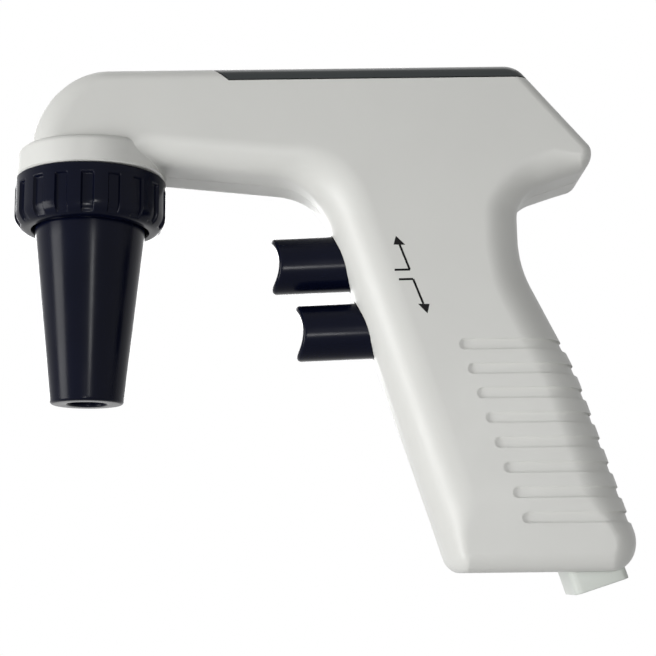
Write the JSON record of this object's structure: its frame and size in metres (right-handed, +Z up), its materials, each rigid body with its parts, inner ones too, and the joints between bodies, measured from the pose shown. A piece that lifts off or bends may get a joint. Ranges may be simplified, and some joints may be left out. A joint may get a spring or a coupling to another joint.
{
  "type": "pipette controller",
  "caption": "Pistol-grip battery pipette controller with round triggers, a fluted collar over a tapered nose cone, a dark top strip and a slide-out battery in the grip.",
  "frame": {"origin": "middle of the grip, on the plane between the half shells, where the hand holds it", "axes": "+Z up along the nose axis, away from the pipette; -X towards the nose; -Y towards the pictured side"},
  "size_m": [0.1637, 0.0408, 0.1399],
  "materials": {
    "housing_left": "fine satin moulded",
    "housing_right": "fine satin moulded",
    "top_cover": "polished",
    "nose_socket": "moulded",
    "valve_block": "satin moulded",
    "exhaust_filter": "moulded",
    "sensor_board": "lacquered board",
    "upper_sensor": "moulded",
    "lower_sensor": "moulded",
    "pump_body": "moulded",
    "pump_valve_plate": "satin moulded",
    "pump_cover": "moulded",
    "pump_diaphragm": "dull",
    "motor_can": "plain",
    "motor_end_cap": "moulded",
    "suction_hose": "soft, slightly milky",
    "vacuum_hose": "soft, slightly milky",
    "pressure_hose": "soft, slightly milky",
    "control_board": "lacquered board",
    "control_chip": "moulded",
    "status_lamp": "clear moulded",
    "board_connector": "moulded",
    "contact_leaf_1": "plain",
    "contact_leaf_2": "plain",
    "contact_block": "moulded",
    "housing_screw_1": "plain",
    "housing_screw_2": "plain",
    "housing_screw_3": "plain",
    "housing_screw_4": "plain",
    "housing_screw_5": "plain",
    "housing_screw_6": "plain",
    "nose_cone": "satin, nearly black blue",
    "nose_seal": "dull",
    "pipette_adapter": "soft, slightly milky",
    "filter_lower": "moulded",
    "filter_membrane": "moulded",
    "filter_upper": "moulded",
    "check_valve_body": "satin moulded",
    "collar": "satin, nearly black blue",
    "check_valve_disc": "dull",
    "upper_trigger": "satin, nearly black blue",
    "upper_plunger": "moulded",
    "upper_spring": "plain",
    "upper_magnet": "plain",
    "lower_trigger": "satin, nearly black blue",
    "lower_plunger": "moulded",
    "lower_spring": "plain",
    "lower_magnet": "plain",
    "motor_rotor": "plain",
    "eccentric": "plain",
    "battery_case": "satin moulded",
    "battery_cell": "shrink sleeve",
    "battery_lid": "moulded",
    "protection_board": "lacquered board",
    "pack_contact_1": "plain",
    "pack_contact_2": "plain"
  },
  "bodies": {
    "housing": {"housing_left": "housing_left", "housing_right": "housing_right", "top_cover": "top_cover", "nose_socket": "nose_socket", "valve_block": "valve_block", "exhaust_filter": "exhaust_filter", "sensor_board": "sensor_board", "upper_sensor": "upper_sensor", "lower_sensor": "lower_sensor", "pump_body": "pump_body", "pump_valve_plate": "pump_valve_plate", "pump_cover": "pump_cover", "pump_diaphragm": "pump_diaphragm", "motor_can": "motor_can", "motor_end_cap": "motor_end_cap", "suction_hose": "suction_hose", "vacuum_hose": "vacuum_hose", "pressure_hose": "pressure_hose", "control_board": "control_board", "control_chip": "control_chip", "status_lamp": "status_lamp", "board_connector": "board_connector", "contact_leaf_1": "contact_leaf_1", "contact_leaf_2": "contact_leaf_2", "contact_block": "contact_block", "housing_screw_1": "housing_screw_1", "housing_screw_2": "housing_screw_2", "housing_screw_3": "housing_screw_3", "housing_screw_4": "housing_screw_4", "housing_screw_5": "housing_screw_5", "housing_screw_6": "housing_screw_6"},
    "nose": {"nose_cone": "nose_cone", "nose_seal": "nose_seal", "pipette_adapter": "pipette_adapter", "filter_lower": "filter_lower", "filter_membrane": "filter_membrane", "filter_upper": "filter_upper", "check_valve_body": "check_valve_body"},
    "collar": {"collar": "collar"},
    "valve_disc": {"check_valve_disc": "check_valve_disc"},
    "upper_button": {"upper_trigger": "upper_trigger", "upper_plunger": "upper_plunger", "upper_spring": "upper_spring", "upper_magnet": "upper_magnet"},
    "lower_button": {"lower_trigger": "lower_trigger", "lower_plunger": "lower_plunger", "lower_spring": "lower_spring", "lower_magnet": "lower_magnet"},
    "rotor": {"motor_rotor": "motor_rotor", "eccentric": "eccentric"},
    "battery": {"battery_case": "battery_case", "battery_cell": "battery_cell", "battery_lid": "battery_lid", "protection_board": "protection_board", "pack_contact_1": "pack_contact_1", "pack_contact_2": "pack_contact_2"}
  },
  "joints": [
    {"name": "upper_trigger_press", "type": "slide", "parent": "housing", "child": "upper_button", "axis": [0.9995, 0, 0.0314], "range_m": [0, 0.006], "stiffness_N_per_m": 500, "springref_m": -0.004, "deforming": ["upper_spring"]},
    {"name": "lower_trigger_press", "type": "slide", "parent": "housing", "child": "lower_button", "axis": [0.9995, 0, 0.0314], "range_m": [0, 0.006], "stiffness_N_per_m": 500, "springref_m": -0.004, "deforming": ["lower_spring"]},
    {"name": "nose_drop", "type": "slide", "parent": "housing", "child": "nose", "axis": [0, 0, -1], "range_m": [0, 0.004]},
    {"name": "collar_turn", "type": "hinge", "parent": "nose", "child": "collar", "pos_m": [-0.1067, 0, 0.058], "axis": [0, 0, -1], "range_deg": [0, 720]},
    {"name": "check_valve_lift", "type": "slide", "parent": "nose", "child": "valve_disc", "axis": [0, 0, 1], "range_m": [0, 0.0008]},
    {"name": "rotor_spin", "type": "hinge", "parent": "housing", "child": "rotor", "pos_m": [-0.03, 0, 0.0743], "axis": [1, 0, 0], "continuous": true, "deforming": ["pump_diaphragm"]},
    {"name": "battery_slide", "type": "slide", "parent": "housing", "child": "battery", "axis": [0.2996, 0, -0.9541], "range_m": [0, 0.06]}
  ],
  "couplings": [
    {"joint": "nose_drop", "follows": "collar_turn", "m_per_rad": 0.00031831}
  ]
}
